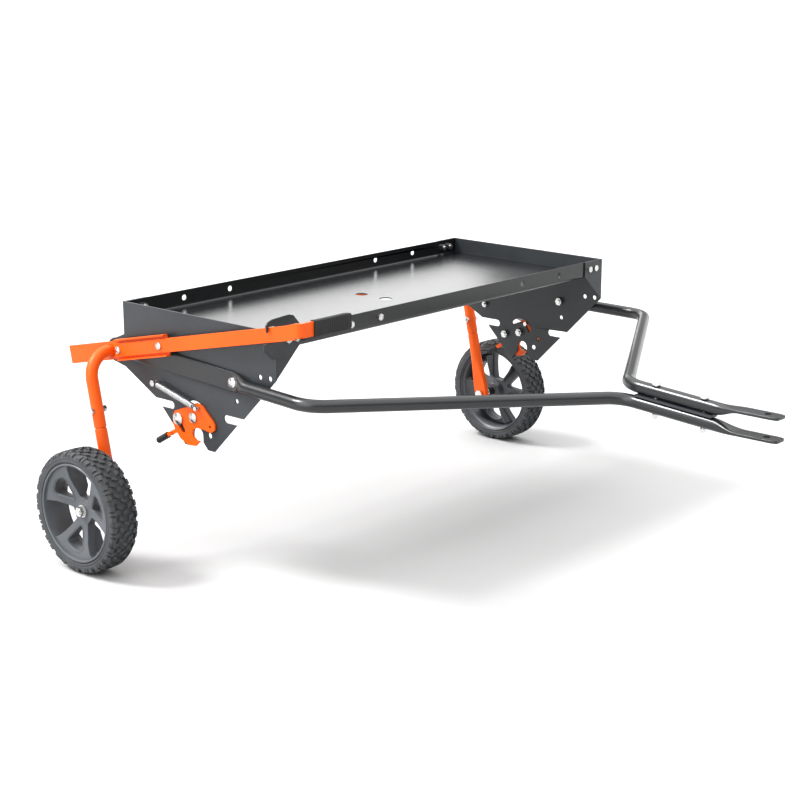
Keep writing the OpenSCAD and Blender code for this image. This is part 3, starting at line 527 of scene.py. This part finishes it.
def spring(cad):
    """A wound spring from its anchor on the end plate to the pin on the latch."""
    y = middle("spring_" + cad).y
    a, b = middle("spring_anchors"), middle("spring_pin_" + cad)
    a.y = b.y = y
    d = (b - a).normalized()
    out = Vector((0, 1, 0))
    up = out.cross(d).normalized()
    run = (b - a).length - COIL_END - COIL_START
    steps_a_turn, hook_steps, ramp_steps = 14, 12, 10
    steps = int(run / (2.05 * WIRE_R)) * steps_a_turn
    path = []
    for k in range(hook_steps + 1):
        t = HOOK_TURN * (1 - k / hook_steps)
        path.append(a + (d * math.cos(t) - up * math.sin(t)) * ANCHOR_HOOK_R)
    for k in range(steps + 1):
        t = 2 * math.pi * k / steps_a_turn
        grow = min(1.0, k / ramp_steps, (steps - k) / ramp_steps)
        path.append(a + d * (COIL_START + run * k / steps) + (up * math.cos(t) + out * math.sin(t)) * COIL_R * grow)
    for k in range(hook_steps + 1):
        t = HOOK_TURN * k / hook_steps
        path.append(b + (up * math.sin(t) - d * math.cos(t)) * PIN_HOOK_R)
    mesh = finish_mesh(wire(path, WIRE_R, 6), "spring_mesh", 60)
    obj = bpy.data.objects.new("spring_%s_wound" % cad, mesh)
    link(obj)
    paint(obj, SPRING_STEEL)
    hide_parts("spring_" + cad)
    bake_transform(obj)


# ---- hitch tubes, in mm of the cart's own axes: one tube each, pressed flat at both ends ----

TUBE_R = 12.7
BEND_R = 60.0
TRAY_HALF = 520.0
PLATE_FACE = TRAY_HALF + 0.15  # the tube's inner face at the end plate
BAND_HALF = 3.1  # half the thickness of the end pressed against the plate
BAND_H, BAND_SQUARE = 20.0, 0.32
BAND_X = (12.0, 342.0)  # the pressed end's run, with the height of its middle at each
BAND_Z = (432.39, 413.89)
ROUND_X = (326.0, 374.0)  # where the pressed end swells back to a round tube
SHOULDER_X, SHOULDER_Y = 548.0, TRAY_HALF + 23  # the bend ahead of the tray, where a tube turns inward
TONGUE_X, TONGUE_Z = 872.0, 391.39  # the bend where the two tubes meet, one above the other
SPLIT = 14.5  # each tube's middle above or below the tongue's
BLADE_MID_Z = TONGUE_Z - 14.5
PRESS_X = 1092.0  # where a tube's middle line reaches the cart's
PIN_GAP, BLADE_THICK = 37.0, 6.5
BLADE_W, BLADE_HALF, BLADE_SQUARE = 18.0, 3.25, 0.28
BLADE_X = (1074.0, 1136.0)  # where the round tube becomes a blade
TIP_X, TIP_R = 1217.0, 16.0
PIN_X, PIN_R = 1188.0, 6.5
VALLEY = 0.55  # depth of the hollow along a blade's middle


def band_z(x):
    return mix(*BAND_Z, (x - BAND_X[0]) / (BAND_X[1] - BAND_X[0]))


def bent(corners, radius, pitch):
    """Points along straights between corners, with an arc at each bend, about pitch apart."""
    line = [corners[0]]
    arc_steps = 14
    for a, b, c in zip(corners, corners[1:], corners[2:]):
        u, v = (a - b).normalized(), (c - b).normalized()
        angle = u.angle(v)
        reach = radius / math.tan(angle / 2)
        centre = b + (u + v).normalized() * radius / math.sin(angle / 2)
        p, q = b + u * reach - centre, b + v * reach - centre
        sweep = p.angle(q)
        for k in range(arc_steps + 1):
            t = k / arc_steps
            line.append(centre + (p * math.sin((1 - t) * sweep) + q * math.sin(t * sweep)) / math.sin(sweep))
    line.append(corners[-1])
    dense = []
    for a, b in zip(line, line[1:]):
        n = max(1, int((b - a).length / pitch))
        dense += [a + (b - a) * k / n for k in range(n)]
    return dense


def tube_sections(s):
    """Sections along a tube: centre, half width, half height, and how square the corners are."""
    sections = []
    for x, lip in [(12.3, 0.2), (13.2, 0.7)] + [(x, 1.0) for x in (16, 60, 120, 180, 240, 300, 318, 326)]:
        centre = Vector((x, s * (PLATE_FACE + BAND_HALF), band_z(x)))
        sections.append((centre, BAND_HALF * lip, BAND_H - 1.6 * (1 - lip), BAND_SQUARE))
    swell_steps = 9
    for k in range(1, swell_steps):
        t = smooth(k / swell_steps)
        x = mix(*ROUND_X, k / swell_steps)
        width = mix(BAND_HALF, TUBE_R, t)
        centre = Vector((x, s * (PLATE_FACE + width), band_z(x)))
        sections.append((centre, width, mix(BAND_H, TUBE_R, t), mix(BAND_SQUARE, 1.0, t)))
    corners = [Vector((ROUND_X[1], s * (TRAY_HALF + TUBE_R), band_z(ROUND_X[1]))),
               Vector((SHOULDER_X, s * SHOULDER_Y, TONGUE_Z + 17)),
               Vector((TONGUE_X + 5 * s, s * 3, TONGUE_Z + s * SPLIT)),
               Vector((PRESS_X, 0, BLADE_MID_Z - 1 + s * (SPLIT + 1.5)))]
    sections += [(p, TUBE_R, TUBE_R, 1.0) for p in bent(corners, BEND_R, 12) if p.x < BLADE_X[0]]
    blade_z = BLADE_MID_Z + s * (PIN_GAP + BLADE_THICK) / 2
    run = (corners[3] - corners[2]).normalized()
    press_steps = 16
    for k in range(press_steps + 1):
        t = smooth(k / press_steps)
        x = mix(*BLADE_X, k / press_steps)
        p = corners[3] + run * (x - PRESS_X)
        sections.append((Vector((x, p.y * (1 - t), mix(p.z, blade_z, t))), mix(TUBE_R, BLADE_W, t),
                         mix(TUBE_R, BLADE_HALF, t), mix(1.0, BLADE_SQUARE, t)))
    for x in (1150, 1165, 1180, 1195, TIP_X - TIP_R):
        sections.append((Vector((x, 0, blade_z)), BLADE_W, BLADE_HALF, BLADE_SQUARE))
    tip_steps = 8
    thinner = {tip_steps - 1: 0.25, tip_steps: 0.9}
    for k in range(1, tip_steps + 1):
        a = math.pi / 2 * k / tip_steps
        centre = Vector((TIP_X - TIP_R + TIP_R * math.sin(a), 0, blade_z))
        sections.append((centre, BLADE_W - 7 * (1 - math.cos(a)), BLADE_HALF - thinner.get(k, 0.0), BLADE_SQUARE))
    return sections, blade_z


def section_ring(bm, centre, along, w, h, power):
    """One section's vertices. The pressed ends lie along X, however the tube's middle runs."""
    if w > 16:
        along = Vector((1, 0, 0))
    elif w < 4:
        along = Vector((1, 0, along.z)).normalized()
    across = along.cross(Vector((0, 0, 1))).normalized()
    up = across.cross(along).normalized()
    steps = 40
    ring = []
    for k in range(steps):
        u, v = squared(2 * math.pi * k / steps, w, h, power)
        if w > 13.5 and abs(v) > 1:
            v -= math.copysign(VALLEY, v) * (1 - abs(u) / w) * (w - TUBE_R) / (BLADE_W - TUBE_R)
        ring.append(bm.verts.new(cart(*(centre + across * u + up * v))))
    return ring


def drill(obj, x, z, radius):
    """An upright hole through obj at x and z."""
    bm = bmesh.new()
    turned(bm, [(0.0, -0.02), (radius * MM, -0.02), (radius * MM, 0.02), (0.0, 0.02)], 48)
    bmesh.ops.remove_doubles(bm, verts=bm.verts, dist=1e-7)
    bmesh.ops.rotate(bm, verts=bm.verts, cent=(0, 0, 0), matrix=Matrix.Rotation(math.pi / 2, 3, "X"))
    bmesh.ops.translate(bm, verts=bm.verts, vec=cart(x, 0, z))
    tool = bpy.data.objects.new("pin", finish_mesh(bm, "pin", 50))
    link(tool)
    mod = obj.modifiers.new("pin", "BOOLEAN")
    mod.operation = "DIFFERENCE"
    mod.solver = "EXACT"
    mod.object = tool
    applied(obj)
    bpy.data.objects.remove(tool)


def hitch_tube(name, s):
    sections, blade_z = tube_sections(s)
    bm = bmesh.new()
    rings = []
    for i, (centre, w, h, power) in enumerate(sections):
        before, after = sections[max(0, i - 1)][0], sections[min(len(sections) - 1, i + 1)][0]
        rings.append(section_ring(bm, centre, (after - before).normalized(), w, h, power))
    capped(bm, rings)
    mesh = finish_mesh(bm, name + "_mesh", 50)
    obj = add(name + "_drawn", mesh, "frame", TUBE_PAINT, name)
    drill(obj, PIN_X, blade_z, PIN_R)
    shade(obj.data, 50)


# ---- grip ----

RIB = 0.0056  # pitch of the grip's ribs
GROOVE, CREST = 0.93, 0.965  # the grip's size at a groove and on a rib, as shares of its flange


def grip():
    low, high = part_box("lever_grip")
    size, centre = (high - low) / 2, (low + high) / 2
    length = high.y - low.y
    stations = [(0.0, GROOVE), (0.0006, 1.0), (0.004, 1.0), (0.0046, GROOVE)]
    y = 0.0046
    while y < length - 0.014:
        stations += [(y + 0.0026, GROOVE), (y + 0.0032, CREST), (y + 0.0050, CREST), (y + RIB, GROOVE)]
        y += RIB
    stations += [(length - 0.006, GROOVE), (length - 0.0022, 0.90), (length - 0.0006, 0.80), (length, 0.62)]
    sides, square = 48, 0.28
    bm = bmesh.new()
    rings = []
    for y, share in stations:
        ring = []
        for i in range(sides):
            x, z = squared(2 * math.pi * i / sides, size.x * share, size.z * share, square)
            ring.append(bm.verts.new((centre.x + x, low.y + y, centre.z + z)))
        rings.append(ring)
    capped(bm, rings)
    mesh = finish_mesh(bm, "grip_mesh", 40)
    add("lever_grip_ribbed", mesh, "lift_crank", RUBBER, "lever_grip")


# ---- the cart ----

for side, cad in ((-1, "right"), (1, "left")):
    tyre(side, cad + "_wheel", cad)
    wheel(side, cad + "_wheel", cad)
for cad in ("right", "left"):
    spring(cad)
hitch_tube("hitch_tube_right", -1)
hitch_tube("hitch_tube_left", 1)
grip()

# each rolled edge's width, in mm
for name, width, mat in (("tray_pan", 0.8, FLOOR_PAINT), ("end_plate_right", 0.5, PAINT),
                         ("end_plate_left", 0.5, PAINT), ("lever_hook", 0.5, PAINT), ("lift_lever", 0.7, ORANGE),
                         ("lever_channel", 0.6, ORANGE), ("latch_right", 0.6, ORANGE), ("latch_left", 0.6, ORANGE)):
    eased(name, width, mat)
for name, width in (("crank_tube", 0.4), ("leg_tube_right", 0.8), ("leg_tube_left", 0.8)):
    eased(name, width, ORANGE, clamp=True)

for name, obj in NODES.items():
    if obj.hide_render:
        continue
    slots = obj.data.materials
    if len(slots) == 0:
        slots.append(None)
    for i in range(len(slots)):
        slots[i] = SLOT_MATERIAL[SLOT[name]]


# ---- floor, light and camera ----

def aim(obj, direction):
    obj.rotation_euler = Vector(direction).to_track_quat("-Z", "Y").to_euler()


def area(name, at, target, size, power):
    light = bpy.data.lights.new(name, "AREA")
    light.shape = "RECTANGLE"
    light.size, light.size_y = size
    light.energy = power
    obj = bpy.data.objects.new(name, light)
    obj.location = at
    aim(obj, Vector(target) - Vector(at))
    link(obj)


def sun(name, toward, strength, width):
    """A distant soft light that comes from the direction toward, width degrees across."""
    light = bpy.data.lights.new(name, "SUN")
    light.energy = strength
    light.angle = math.radians(width)
    obj = bpy.data.objects.new(name, light)
    aim(obj, -Vector(toward))
    link(obj)


def floor():
    bm = bmesh.new()
    bmesh.ops.create_grid(bm, x_segments=1, y_segments=1, size=40.0)
    mesh = bpy.data.meshes.new("floor")
    bm.to_mesh(mesh)
    bm.free()
    obj = bpy.data.objects.new("floor", mesh)
    obj.location = (0, 0, -0.0005)
    link(obj)
    paint(obj, material("pale_floor", (0.485, 0.485, 0.485), (0.50, 0.50, 0.50), 0.9, grain=40, bump=0.0, patch=0.6))


def studio():
    """Bright sky overhead, a dark band low round the cart, and a pale horizon below it."""
    world = bpy.data.worlds.new("studio")
    world.use_nodes = True
    sky = world.node_tree
    coords = sky.nodes.new("ShaderNodeTexCoord")
    split = sky.nodes.new("ShaderNodeSeparateXYZ")
    rise = sky.nodes.new("ShaderNodeValToRGB")
    rise.color_ramp.interpolation = "EASE"
    rise.color_ramp.elements.new(0.5)
    for stop, position, grey in zip(rise.color_ramp.elements, (0.10, 0.18, 0.85), (0.62, 0.10, 1.0)):
        stop.position = position
        stop.color = (grey, grey, grey, 1)
    sky.links.new(coords.outputs["Generated"], split.inputs["Vector"])
    sky.links.new(split.outputs["Z"], rise.inputs["Fac"])
    sky.links.new(rise.outputs["Color"], sky.nodes["Background"].inputs["Color"])
    sky.nodes["Background"].inputs["Strength"].default_value = 1.95
    bpy.context.scene.world = world


def camera(azimuth, elevation, distance, target):
    """The photograph's view; angles in degrees, azimuth 0 looking along +Y."""
    lens = bpy.data.cameras.new("camera")
    lens.sensor_width = 36.0
    lens.lens = 80.208
    turn, tilt = math.radians(azimuth), math.radians(elevation)
    back = Vector((math.sin(turn) * math.cos(tilt), -math.cos(turn) * math.cos(tilt), math.sin(tilt)))
    obj = bpy.data.objects.new("camera", lens)
    obj.location = target + back * distance
    aim(obj, -back)
    link(obj)
    bpy.context.scene.camera = obj


floor()
studio()
sun("key", (-0.66, -0.50, 1.0), 2.8, 17)
sun("side", (-0.05, -1.0, 0.42), 1.1, 50)
area("backdrop", (-3.45, 2.65, 1.6), (-0.3, 0.0, 0.49), (2.1, 1.5), 15)  # what the tray's floor reflects
camera(41.86, 14.73, 3.86185, cart(287.8, 0.0, 269.9))
bpy.context.scene.view_settings.view_transform = "Standard"
bpy.context.scene.view_settings.look = "Medium High Contrast"
